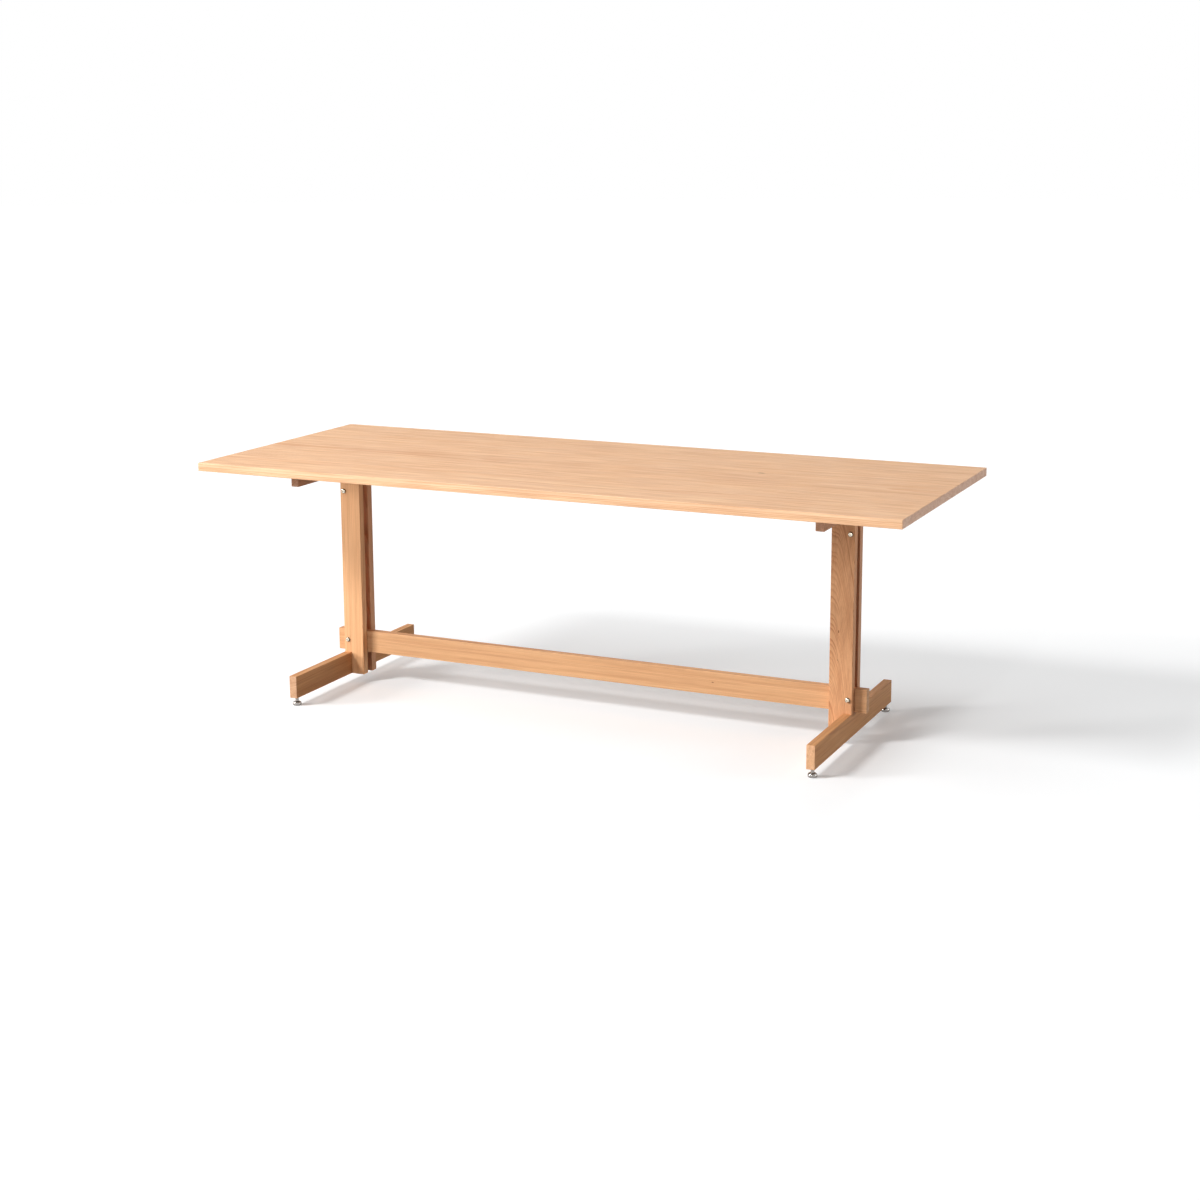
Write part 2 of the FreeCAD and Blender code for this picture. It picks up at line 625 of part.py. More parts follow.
def make_glide(side_name, face_name):
    """Makes one glide: the pad on the floor and the stem whose flange is held in it, free to turn."""
    side = SIDES[side_name]
    face = FACES[face_name]
    name = face_name.capitalize() + side_name.capitalize()
    x = f"{side} * {FOOT_X}"
    y = f"{face} * {GLIDE_Y}"

    rim = "Sizes.pad_diameter / 2"
    neck_bore = f"{STEM_NECK_RADIUS} + Sizes.swivel_clearance"
    flange_bore = "Sizes.stem_diameter / 2 + Sizes.swivel_clearance"
    lip = "Sizes.pad_floor + Sizes.stem_flange_height + Sizes.swivel_play"
    pad_profile = [
        ("0", "0"),
        (rim, "0"),
        (rim, "Sizes.pad_height"),
        (neck_bore, "Sizes.pad_height"),
        (neck_bore, lip),
        (flange_bore, lip),
        (flange_bore, "Sizes.pad_floor"),
        ("0", "Sizes.pad_floor"),
    ]
    glide_pad = turned_body(name + "Pad", "XZ_Plane", pad_profile)

    def rim_edge_at(height):
        def on_rim(edge):
            box = edge.BoundBox
            level = math.isclose(box.Center.z, height, abs_tol=TOUCH) and box.ZLength < TOUCH
            return level and box.XLength > SIZES["pad_diameter"] - TOUCH
        return on_rim

    round_edges(glide_pad, "Sizes.pad_dome_round", rim_edge_at(SIZES["pad_height"]))
    round_edges(glide_pad, "Sizes.pad_foot_round", rim_edge_at(0))
    place(glide_pad, x=x, y=y)
    add_node(glide_pad, f"{face_name}_{side_name}_glide_pad")

    thread = "Sizes.stem_diameter / 2"
    shoulder = "(Sizes.pad_height - Sizes.pad_floor + Sizes.stem_shoulder_gap)"
    length = f"({FOOT_RISE} + Sizes.insert_length + Sizes.levelling_raise - Sizes.pad_floor)"
    stem_profile = [
        ("0", "0"),
        (thread, "0"),
        (thread, "Sizes.stem_flange_height"),
        (STEM_NECK_RADIUS, "Sizes.stem_flange_height"),
        (STEM_NECK_RADIUS, shoulder),
        (thread, shoulder),
        (thread, f"{length} - Sizes.stem_tip_chamfer"),
        (f"{thread} - Sizes.stem_tip_chamfer", length),
        ("0", length),
    ]
    stem = turned_body(name + "Stem", "XZ_Plane", stem_profile)
    flats = new_sketch(stem, name + "StemFlats", "XY_Plane", f"{shoulder} + Sizes.stem_flats_rise")
    for away in (-1, 1):
        near = f"{away} * (Sizes.stem_diameter / 2 - Sizes.stem_flats_depth)"
        far = f"{away} * Sizes.stem_diameter"
        draw_rectangle(flats, near, far, "-Sizes.stem_diameter", "Sizes.stem_diameter")
    cut(stem, flats, "Sizes.stem_flats_height", along_normal=True)
    place(stem, x=x, y=y, z="Sizes.pad_floor")
    add_node(stem, f"{face_name}_{side_name}_glide_stem")


def make_inserts():
    """Makes the threaded inserts that carry the glide stems, flush with the underside of the foot beams."""
    inserts = []
    for side_name, side in SIDES.items():
        for face_name, face in FACES.items():
            name = face_name.capitalize() + side_name.capitalize() + "Insert"
            insert = tube(name, INSERT_RADIUS, STEM_BORE_RADIUS, "Sizes.insert_length")
            place(insert, x=f"{side} * {FOOT_X}", y=f"{face} * {GLIDE_Y}", z=FOOT_RISE)
            inserts.append(insert)
    group(inserts, "glide_inserts")


for board_number in range(1, BOARD_COUNT + 1):
    make_top_board(board_number)
for trestle in SIDES:
    make_bearer(trestle)
    make_foot_beam(trestle)
    for post_face in FACES:
        make_post(trestle, post_face)
        make_glide(trestle, post_face)
make_stretcher()
make_bolts_and_nuts()
make_spacers()
make_dowels("foot_dowels", "Sizes.foot_thickness", FOOT_RISE, "Sizes.foot_height",
            "Sizes.foot_dowel_spacing")
make_dowels("bearer_dowels", "Sizes.bearer_thickness", f"({UNDERSIDE} - Sizes.bearer_height)",
            "Sizes.bearer_height", "Sizes.bearer_dowel_spacing")
make_top_screws()
make_inserts()
doc.recompute()

for item in doc.Objects:
    if "Invalid" in item.State or "Error" in item.State:
        raise RuntimeError(f"{item.Label} failed to build: {item.State}")
for node in nodes:
    if node.Shape.isNull() or not node.Shape.isValid():
        raise RuntimeError(f"{node.Label} has no valid shape")

os.makedirs("parts", exist_ok=True)
for node in nodes:
    node.Shape.exportStep(f"parts/{node.Label}.step")
    print(node.Label, len(node.Shape.Solids), "solids", round(node.Shape.Volume), "cubic mm")
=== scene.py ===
import math

import bpy
import numpy as np
from mathutils import Matrix, Vector


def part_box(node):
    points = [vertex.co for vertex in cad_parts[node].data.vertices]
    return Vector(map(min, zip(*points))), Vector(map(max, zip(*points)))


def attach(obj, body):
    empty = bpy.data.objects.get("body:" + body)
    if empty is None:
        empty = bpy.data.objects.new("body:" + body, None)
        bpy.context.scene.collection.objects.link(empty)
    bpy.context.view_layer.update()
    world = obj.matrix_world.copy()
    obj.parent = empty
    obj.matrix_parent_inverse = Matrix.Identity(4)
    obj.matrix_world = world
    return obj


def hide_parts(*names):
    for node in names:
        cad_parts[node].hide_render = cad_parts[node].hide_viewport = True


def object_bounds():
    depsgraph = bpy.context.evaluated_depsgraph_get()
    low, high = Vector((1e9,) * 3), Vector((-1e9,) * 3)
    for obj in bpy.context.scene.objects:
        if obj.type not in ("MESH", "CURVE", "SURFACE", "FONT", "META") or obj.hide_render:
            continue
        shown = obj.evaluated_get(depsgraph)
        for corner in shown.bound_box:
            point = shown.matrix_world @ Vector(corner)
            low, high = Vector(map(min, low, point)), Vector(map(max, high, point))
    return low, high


# Trestle dining table: finishes for its timber and steel, turned fasteners and glides, floor, light and
# camera. All lengths are in metres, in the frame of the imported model.

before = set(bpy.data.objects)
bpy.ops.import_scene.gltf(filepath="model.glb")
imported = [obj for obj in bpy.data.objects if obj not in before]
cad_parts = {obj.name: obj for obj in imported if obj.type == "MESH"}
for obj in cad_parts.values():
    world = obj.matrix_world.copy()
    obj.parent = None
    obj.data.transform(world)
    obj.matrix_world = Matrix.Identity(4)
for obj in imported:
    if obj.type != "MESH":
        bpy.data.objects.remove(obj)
cad_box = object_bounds()

SIDES = ("left", "right")
FACES = ("front", "back")
MM = 0.001


def srgb(red, green, blue):
    """Turns a written 8 bit colour into the linear colour that a shader takes."""
    written = np.array([red, green, blue]) / 255
    linear = np.where(written <= 0.04045, written / 12.92, ((written + 0.055) / 1.055) ** 2.4)
    return (*linear.tolist(), 1.0)


# Node trees


class Graph:
    """Adds nodes to one tree. An input is either a socket to join or a value to set."""

    def __init__(self, tree):
        self.tree = tree

    def put(self, socket, value):
        if isinstance(value, bpy.types.NodeSocket):
            self.tree.links.new(value, socket)
        else:
            socket.default_value = value

    def node(self, kind, inputs=(), **settings):
        node = self.tree.nodes.new(kind)
        for name, value in settings.items():
            setattr(node, name, value)
        for name, value in dict(inputs).items():
            self.put(node.inputs[name], value)
        return node

    def math(self, operation, *values):
        return self.node("ShaderNodeMath", enumerate(values), operation=operation).outputs[0]

    def vector(self, operation, *values):
        node = self.node("ShaderNodeVectorMath", enumerate(values), operation=operation)
        return node.outputs["Value" if operation in ("LENGTH", "DOT_PRODUCT") else "Vector"]

    def smooth(self, value, start, end, low=0.0, high=1.0):
        """Eases from low to high while the value goes from start to end."""
        inputs = {"Value": value, "From Min": start, "From Max": end, "To Min": low, "To Max": high}
        return self.node("ShaderNodeMapRange", inputs, interpolation_type="SMOOTHSTEP").outputs[0]

    def noise(self, position, seed, scale=1.0, detail=2.0):
        """Gives soft noise from 0 to 1 over a position, different for each seed."""
        inputs = {"Vector": position, "W": seed, "Scale": scale, "Detail": detail}
        return self.node("ShaderNodeTexNoise", inputs, noise_dimensions="4D").outputs[0]

    def noise_along(self, distance, detail=1.0):
        """Gives soft noise from 0 to 1 along one line."""
        inputs = {"W": distance, "Scale": 1.0, "Detail": detail}
        return self.node("ShaderNodeTexNoise", inputs, noise_dimensions="1D").outputs[0]

    def blend(self, share, first, second, mode="MIX"):
        """Mixes two colours."""
        node = self.node("ShaderNodeMix", data_type="RGBA", blend_type=mode)
        for index, value in ((0, share), (6, first), (7, second)):
            self.put(node.inputs[index], value)
        return node.outputs[2]

    def brighten(self, colour, factor):
        """Multiplies a colour by a number that may change over the surface."""
        grey = self.node("ShaderNodeCombineColor", {"Red": factor, "Green": factor, "Blue": factor})
        return self.blend(1.0, colour, grey.outputs[0], "MULTIPLY")


SOCKETS = {"value": "NodeSocketFloat", "vector": "NodeSocketVector", "colour": "NodeSocketColor"}


def new_group(name, inputs, outputs):
    """Makes a shader node group with named sockets, and gives its graph, its inputs and its end node."""
    tree = bpy.data.node_groups.new(name, "ShaderNodeTree")
    for socket_name, kind in inputs.items():
        tree.interface.new_socket(name=socket_name, in_out="INPUT", socket_type=SOCKETS[kind])
    for socket_name, kind in outputs.items():
        tree.interface.new_socket(name=socket_name, in_out="OUTPUT", socket_type=SOCKETS[kind])
    graph = Graph(tree)
    return graph, tree.nodes.new("NodeGroupInput").outputs, tree.nodes.new("NodeGroupOutput").inputs


def use_group(graph, name, inputs):
    """Places a group in a graph with its own values, and gives its outputs."""
    node = graph.node("ShaderNodeGroup", node_tree=bpy.data.node_groups[name])
    for socket_name, value in inputs.items():
        graph.put(node.inputs[socket_name], value)
    return node.outputs


def new_material(name):
    """Makes a material with an empty graph and its output's surface socket."""
    material = bpy.data.materials.new(name)
    material.use_nodes = True
    material.node_tree.nodes.clear()
    graph = Graph(material.node_tree)
    surface = graph.node("ShaderNodeOutputMaterial").inputs["Surface"]
    return material, graph, surface


# Timber


def make_edge_distance_group():
    """Distance from a point on a block's surface to its nearest edge. Of the three distances to the block's
    faces the smallest is nothing, because the point is on a face, and the middle one leads to the edge."""
    graph, given, result = new_group(
        "edge_distance",
        {"Position": "vector", "Centre": "vector", "Half Size": "vector"},
        {"Distance": "value"},
    )
    from_centre = graph.vector("ABSOLUTE", graph.vector("SUBTRACT", given["Position"], given["Centre"]))
    to_faces = graph.vector("SUBTRACT", given["Half Size"], from_centre)
    x, y, z = graph.node("ShaderNodeSeparateXYZ", {"Vector": to_faces}).outputs
    smaller = graph.math("MINIMUM", x, y)
    larger = graph.math("MAXIMUM", x, y)
    graph.put(result["Distance"], graph.math("MAXIMUM", smaller, graph.math("MINIMUM", larger, z)))


def make_knot_group():
    """A small knot, drawn out along the grain, and how far it pushes the rings round it aside. Its distance
    is measured in knot sizes, with lengths along the grain taken for less."""
    stretch = 2.4
    core = 0.55
    reach = 3.0
    push_share = 1.3
    graph, given, result = new_group(
        "knot",
        {"Position": "vector", "Grain": "vector", "Centre": "vector", "Size": "value"},
        {"Mask": "value", "Push": "value"},
    )
    offset = graph.vector("SUBTRACT", given["Position"], given["Centre"])
    along = graph.vector("DOT_PRODUCT", offset, given["Grain"])
    across_square = graph.math("SUBTRACT", graph.vector("DOT_PRODUCT", offset, offset),
                               graph.math("MULTIPLY", along, along))
    short_along = graph.math("DIVIDE", along, stretch)
    square = graph.math("ADD", across_square, graph.math("MULTIPLY", short_along, short_along))
    sizes_away = graph.math("DIVIDE", graph.math("SQRT", square), given["Size"])
    graph.put(result["Mask"], graph.smooth(sizes_away, core, 1.0, 1.0, 0.0))
    fall = graph.math("POWER", graph.math("DIVIDE", sizes_away, reach), 2.0)
    push = graph.math("EXPONENT", graph.math("MULTIPLY", fall, -1.0))
    largest_push = graph.math("MULTIPLY", given["Size"], push_share)
    graph.put(result["Push"], graph.math("MULTIPLY", push, largest_push))


def make_growth_rings_group():
    """Yearly rings of a log, from a position measured across the log from its pith (X, Y) and along it (Z).
    The distance from the pith, made a little uneven, is counted in ring widths. In each ring pale early wood
    darkens into late wood, which ends sharply. Bands of years differ in tone, and streaks, fine fibres and
    short dark flecks run along the grain. Sizes are given across and along the grain."""
    bend_size, bend_amount = (0.09, 0.7), 2.0
    ripple_size, ripple_amount = (0.014, 0.16), 1.1
    years_by_seed = 37.0
    width_pace, width_change = 0.3, 2.4
    late_wood_start, late_wood_full = 0.35, 0.92
    ring_end = 0.95
    weakest_ring = 0.4
    band_pace, band_size, band_by_years = 0.16, (0.03, 0.9), 0.6
    fine_streak_size = (0.0042, 0.15)
    fibre_size = (0.0011, 0.045)
    fleck_size, fleck_start, fleck_full = (0.0005, 0.008), 0.70, 0.78
    graph, given, result = new_group(
        "growth_rings",
        {"Position": "vector", "Push": "value", "Ring Width": "value", "Unevenness": "value", "Seed": "value",
         "Streak Size": "vector"},
        {"Late Wood": "value", "Band": "value", "Streak": "value", "Fibre": "value", "Fleck": "value"},
    )

    def stretched(across, along):
        """Scales the position so that noise has features this wide and this long."""
        return graph.vector("MULTIPLY", given["Position"], (1 / across, 1 / across, 1 / along))

    def centred(noise, amount):
        """Moves noise to both sides of nothing and scales it."""
        return graph.math("MULTIPLY", graph.math("SUBTRACT", noise, 0.5), amount)

    flat = graph.vector("MULTIPLY", given["Position"], (1.0, 1.0, 0.0))
    bend = graph.noise(stretched(*bend_size), given["Seed"], detail=1.0)
    ripple = graph.noise(stretched(*ripple_size), given["Seed"])
    bend_shift = graph.math("MULTIPLY", centred(bend, bend_amount), given["Unevenness"])
    ripple_shift = graph.math("MULTIPLY", centred(ripple, ripple_amount), given["Ring Width"])
    distance = graph.vector("LENGTH", flat)
    for shift in (bend_shift, ripple_shift, given["Push"]):
        distance = graph.math("ADD", distance, shift)
    years = graph.math("DIVIDE", distance, given["Ring Width"])
    seeded = graph.math("ADD", years, graph.math("MULTIPLY", given["Seed"], years_by_seed))
    widths = graph.noise_along(graph.math("MULTIPLY", seeded, width_pace))
    years = graph.math("ADD", seeded, centred(widths, width_change))

    season = graph.math("FRACT", years)
    darkening = graph.smooth(season, late_wood_start, late_wood_full)
    ending = graph.smooth(season, ring_end, 1.0, 1.0, 0.0)
    year = graph.math("FLOOR", years)
    chance = graph.node("ShaderNodeTexWhiteNoise", {"W": year}, noise_dimensions="1D").outputs["Value"]
    strength = graph.math("MULTIPLY_ADD", chance, 1.0 - weakest_ring, weakest_ring)
    late = graph.math("MULTIPLY", graph.math("MULTIPLY", darkening, ending), strength)
    graph.put(result["Late Wood"], late)

    by_years = graph.noise_along(graph.math("MULTIPLY", years, band_pace), detail=2.0)
    along_grain = graph.noise(stretched(*band_size), given["Seed"], detail=3.0)
    graph.put(result["Band"], graph.math("ADD", graph.math("MULTIPLY", by_years, band_by_years),
                                         graph.math("MULTIPLY", along_grain, 1.0 - band_by_years)))
    on_streaks = graph.vector("DIVIDE", given["Position"], given["Streak Size"])
    wide_streaks = graph.noise(on_streaks, given["Seed"], detail=2.0)
    fine_streaks = graph.noise(stretched(*fine_streak_size), given["Seed"], detail=3.0)
    graph.put(result["Streak"], graph.math("MULTIPLY", graph.math("ADD", wide_streaks, fine_streaks), 0.5))
    graph.put(result["Fibre"], graph.noise(stretched(*fibre_size), given["Seed"], detail=3.0))
    dashes = graph.noise(stretched(*fleck_size), given["Seed"], detail=1.0)
    graph.put(result["Fleck"], graph.smooth(dashes, fleck_start, fleck_full))


# How much of a streak's depth each part of the colour takes
STREAK_TINT = {"Red": 0.7, "Green": 1.0, "Blue": 1.15}


def make_timber_group():
    """Colour, roughness and height of planed and oiled timber: its rings, bands, streaks, fibres and knots,
    end grain in a tone of its own, edges worn smoother and painted paler as a highlight, and a finish that is
    a little uneven."""
    knot_colour, knot_cover = srgb(128, 74, 40), 0.85
    end_facing_start, end_facing_full = 0.5, 0.9
    patch_scale, handled_scale = 55.0, 9.0
    patch_low, patch_high = 0.3, 0.7
    rub_full, rub_end, edge_highlight_tone = 0.0004, 0.0022, 0.08
    heart_start, heart_full, heart_most = 0.42, 0.66, 0.5
    streak_low, streak_high = 0.34, 0.66
    fibre_low, fibre_high, fibre_tone = 0.25, 0.75, 0.045
    fleck_tone = 0.16
    oil_smoothest, oil_roughest = 0.53, 0.63
    late_wood_gloss, end_dullness, rub_gloss, knot_gloss = -0.07, 0.12, -0.06, -0.08
    height_share = 0.5
    graph, given, result = new_group(
        "timber",
        {
            "Position": "vector", "Log Position": "vector", "Normal": "vector", "Grain": "vector",
            "Centre": "vector", "Half Size": "vector", "Early Wood": "colour", "Late Wood": "colour",
            "Heart": "colour", "End Grain": "colour", "Tone": "value", "Ring Width": "value",
            "Unevenness": "value", "Seed": "value", "Streak Size": "vector", "Streak Depth": "value",
            "First Knot": "vector", "First Knot Size": "value",
            "Second Knot": "vector", "Second Knot Size": "value",
        },
        {"Colour": "colour", "Roughness": "value", "Height": "value"},
    )
    knots = [
        use_group(graph, "knot", {"Position": given["Position"], "Grain": given["Grain"],
                                  "Centre": given[f"{order} Knot"], "Size": given[f"{order} Knot Size"]})
        for order in ("First", "Second")
    ]
    rings = use_group(graph, "growth_rings", {
        "Position": given["Log Position"], "Push": graph.math("ADD", knots[0]["Push"], knots[1]["Push"]),
        "Ring Width": given["Ring Width"], "Unevenness": given["Unevenness"], "Seed": given["Seed"],
        "Streak Size": given["Streak Size"]})
    knot = graph.math("MAXIMUM", knots[0]["Mask"], knots[1]["Mask"])
    facing = graph.math("ABSOLUTE", graph.vector("DOT_PRODUCT", given["Normal"], given["Grain"]))
    end_grain = graph.smooth(facing, end_facing_start, end_facing_full)
    edge = use_group(graph, "edge_distance", {"Position": given["Position"], "Centre": given["Centre"],
                                              "Half Size": given["Half Size"]})["Distance"]
    patches = graph.noise(given["Position"], given["Seed"], scale=patch_scale, detail=3.0)
    worn_and_lit_edges = graph.math("MULTIPLY", graph.smooth(edge, rub_full, rub_end, 1.0, 0.0),
                        graph.smooth(patches, patch_low, patch_high))
    handled = graph.noise(given["Position"], given["Seed"], scale=handled_scale, detail=3.0)

    colour = graph.blend(rings["Late Wood"], given["Early Wood"], given["Late Wood"])
    heart_share = graph.smooth(rings["Band"], heart_start, heart_full, 0.0, heart_most)
    colour = graph.blend(heart_share, colour, given["Heart"])
    streak = graph.smooth(rings["Streak"], streak_low, streak_high, -1.0, 1.0)
    streak = graph.math("MULTIPLY", streak, given["Streak Depth"])
    tint = {name: graph.math("MULTIPLY_ADD", streak, share, 1.0) for name, share in STREAK_TINT.items()}
    colour = graph.blend(1.0, colour, graph.node("ShaderNodeCombineColor", tint).outputs[0], "MULTIPLY")
    fibre = graph.smooth(rings["Fibre"], fibre_low, fibre_high, 1.0 - fibre_tone, 1.0 + fibre_tone)
    colour = graph.brighten(colour, fibre)
    colour = graph.brighten(colour, graph.math("MULTIPLY_ADD", rings["Fleck"], -fleck_tone, 1.0))
    colour = graph.blend(end_grain, colour, graph.blend(1.0, colour, given["End Grain"], "MULTIPLY"))
    # Painted highlight: edges are drawn paler where light catches their rounding. Their smoother roughness is
    # real wear.
    colour = graph.brighten(colour, graph.math("MULTIPLY_ADD", worn_and_lit_edges, edge_highlight_tone, 1.0))
    colour = graph.brighten(colour, given["Tone"])
    colour = graph.blend(graph.math("MULTIPLY", knot, knot_cover), colour, knot_colour)
    graph.put(result["Colour"], colour)

    roughness = graph.smooth(handled, patch_low, patch_high, oil_smoothest, oil_roughest)
    for amount, mask in ((late_wood_gloss, rings["Late Wood"]), (end_dullness, end_grain),
                         (rub_gloss, worn_and_lit_edges), (knot_gloss, knot)):
        roughness = graph.math("MULTIPLY_ADD", mask, amount, roughness)
    graph.put(result["Roughness"], roughness)

    height = graph.math("SUBTRACT", graph.math("ADD", rings["Late Wood"], rings["Fibre"]), rings["Fleck"])
    graph.put(result["Height"], graph.math("MULTIPLY", height, height_share))


# For each way of the grain, two directions across it and the one along it
GRAIN_AXES = {
    "X": (Vector((0, 1, 0)), Vector((0, 0, 1)), Vector((1, 0, 0))),
    "Y": (Vector((0, 0, 1)), Vector((1, 0, 0)), Vector((0, 1, 0))),
    "Z": (Vector((1, 0, 0)), Vector((0, 1, 0)), Vector((0, 0, 1))),
}
# Sorts of timber. End grain is a tint on the other colours, and a streak's size is across and along the log.
# The end grain tints of the top and the feet are paler and less saturated than end grain is: painted light
# and sheen on their end faces.
TOP_TIMBER = {
    "Early Wood": srgb(242, 198, 158), "Late Wood": srgb(221, 161, 117), "Heart": srgb(228, 175, 132),
    "End Grain": (1.12, 1.24, 1.58, 1.0), "Streak Size": (0.010, 0.010, 0.15), "Streak Depth": 0.15}
FRAME_TIMBER = {
    "Early Wood": srgb(229, 178, 132), "Late Wood": srgb(197, 138, 93), "Heart": srgb(217, 162, 115),
    "End Grain": (0.97, 1.05, 1.22, 1.0), "Streak Size": (0.012, 0.012, 0.40), "Streak Depth": 0.12}
FOOT_TIMBER = {
    **FRAME_TIMBER, "Early Wood": srgb(229, 170, 117), "Late Wood": srgb(197, 130, 80),
    "Heart": srgb(217, 154, 101), "End Grain": (1.04, 1.22, 1.66, 1.0)}
# A still paler tint for the right foot beam's ends: painted light on that foot's lit ends
FOOT_ENDS_PAINTED_LIT = (1.24, 1.42, 1.83, 1.0)
RIGHT_POST_TIMBER = {
    **FRAME_TIMBER, "Early Wood": srgb(229, 171, 125), "Late Wood": srgb(197, 131, 87),
    "Heart": srgb(217, 155, 109)}
# A redder timber for the back posts and the bearers: painted shade, the tint that their shaded faces take
SHADE_TINTED_TIMBER = {
    **FRAME_TIMBER, "Early Wood": srgb(229, 173, 134), "Late Wood": srgb(197, 134, 95),
    "Heart": srgb(217, 158, 117)}
DOWEL_TIMBER = {
    "Early Wood": srgb(232, 200, 158), "Late Wood": srgb(212, 170, 122), "Heart": srgb(224, 188, 144),
    "End Grain": (0.95, 1.00, 1.10, 1.0), "Streak Size": (0.006, 0.006, 0.20), "Streak Depth": 0.10}
# A knot is a place and a size, and one far away stands for none
NO_KNOT = ((10.0, 10.0, 10.0), 0.001)
GRAIN_DEPTH = 0.00016
GRAIN_RELIEF = 0.8
OIL_SHEEN = 0.2


def timber(node, sort, grain, pith, lean, ring, seed, tone=1.0, unevenness=0.004, knots=()):
    """Finishes one timber. Its log runs along the grain axis, a little aslant, with the pith at a place given
    across the grain from the middle of the piece, so all of its faces show one and the same run of rings."""
    low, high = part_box(node)
    centre = (low + high) / 2
    first, second, along = GRAIN_AXES[grain]
    axis = (along + lean[0] * first + lean[1] * second).normalized()
    across = (first - first.dot(axis) * axis).normalized()
    turn = Matrix((across, axis.cross(across), axis))
    pith_place = centre + pith[0] * first + pith[1] * second
    first_knot, second_knot = [*knots, NO_KNOT, NO_KNOT][:2]

    material, graph, surface = new_material(node)
    coordinates = graph.node("ShaderNodeTexCoord").outputs
    log_position = graph.node("ShaderNodeMapping", {
        "Vector": coordinates["Object"], "Rotation": turn.to_euler(), "Location": -(turn @ pith_place)})
    finish = use_group(graph, "timber", {
        "Position": coordinates["Object"], "Log Position": log_position.outputs[0],
        "Normal": coordinates["Normal"], "Grain": along, "Centre": centre, "Half Size": (high - low) / 2,
        "Tone": tone, "Ring Width": ring, "Unevenness": unevenness, "Seed": seed,
        "First Knot": first_knot[0], "First Knot Size": first_knot[1],
        "Second Knot": second_knot[0], "Second Knot Size": second_knot[1], **sort})
    bump = graph.node("ShaderNodeBump", {
        "Height": finish["Height"], "Distance": GRAIN_DEPTH, "Strength": GRAIN_RELIEF})
    shader = graph.node("ShaderNodeBsdfPrincipled", {
        "Base Color": finish["Colour"], "Roughness": finish["Roughness"], "Normal": bump.outputs[0],
        "Specular IOR Level": OIL_SHEEN})
    graph.put(surface, shader.outputs[0])
    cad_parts[node].material_slots[0].material = material


make_edge_distance_group()
make_knot_group()
make_growth_rings_group()
make_timber_group()

# The pith of a board lies to one side for straight grain, and under or over it for arched grain
timber("top_board_1", TOP_TIMBER, "X", pith=(0.05, -0.16), lean=(0.002, 0.003), ring=0.0034, seed=1.3)
timber("top_board_2", TOP_TIMBER, "X", pith=(0.30, -0.05), lean=(-0.006, 0.0), ring=0.0028, seed=2.1,
       tone=0.985)
timber("top_board_3", TOP_TIMBER, "X", pith=(-0.02, -0.11), lean=(0.004, 0.007), ring=0.0036, seed=3.7,
       unevenness=0.005, tone=0.975, knots=[((0.50, 0.075, 0.72), 0.0055)])
# The back boards are toned darker: painted shade towards the back of the top.
timber("top_board_4", TOP_TIMBER, "X", pith=(-0.26, 0.08), lean=(0.005, 0.002), ring=0.0030, seed=4.9,
       tone=0.975)
timber("top_board_5", TOP_TIMBER, "X", pith=(0.22, 0.10), lean=(-0.004, 0.003), ring=0.0026, seed=5.2,
       tone=0.955)
timber("stretcher", FRAME_TIMBER, "X", pith=(0.02, 0.17), lean=(0.002, 0.003), ring=0.0022, seed=6.4,
       tone=0.96, unevenness=0.003, knots=[((0.393, -0.012, 0.127), 0.0018)])
timber("right_front_post", RIGHT_POST_TIMBER, "Z", pith=(-0.036, 0.058), lean=(0.010, 0.140), ring=0.0024,
       seed=7.7, unevenness=0.008, tone=0.94,
       knots=[((0.769, -0.036, 0.32), 0.002), ((0.768, -0.036, 0.24), 0.0012)])
# Toned paler than the other posts: painted light, as this post stands more in the light.
timber("left_front_post", FRAME_TIMBER, "Z", pith=(0.16, 0.02), lean=(0.006, 0.004), ring=0.0027, seed=8.6,
       tone=1.15)
timber("right_back_post", SHADE_TINTED_TIMBER, "Z", pith=(-0.12, 0.05), lean=(0.008, 0.010), ring=0.0029, seed=9.1,
       tone=0.86, knots=[((0.77, 0.036, 0.44), 0.004)])
timber("left_back_post", SHADE_TINTED_TIMBER, "Z", pith=(0.03, -0.07), lean=(-0.012, 0.030), ring=0.0033, seed=10.8,
       tone=0.93)
timber("right_foot_beam", {**FOOT_TIMBER, "End Grain": FOOT_ENDS_PAINTED_LIT}, "Y", pith=(0.04, -0.06),
       lean=(0.010, 0.014), ring=0.0030, seed=11.5, tone=0.84)
timber("left_foot_beam", FOOT_TIMBER, "Y", pith=(-0.09, 0.03), lean=(0.006, -0.010), ring=0.0031, seed=12.2,
       tone=0.83)
# The bearers are toned darker as well: painted shade, from the top over their ends.
timber("right_bearer", SHADE_TINTED_TIMBER, "Y", pith=(0.08, 0.05), lean=(0.010, 0.008), ring=0.0028, seed=13.9,
       tone=0.86)
timber("left_bearer", SHADE_TINTED_TIMBER, "Y", pith=(-0.07, 0.06), lean=(0.008, 0.012), ring=0.0030, seed=14.3,
       tone=0.76)
for dowels in ("foot_dowels", "bearer_dowels"):
    timber(dowels, DOWEL_TIMBER, "X", pith=(0.05, 0.02), lean=(0.01, 0.01), ring=0.0016, seed=15.6)


# Steel


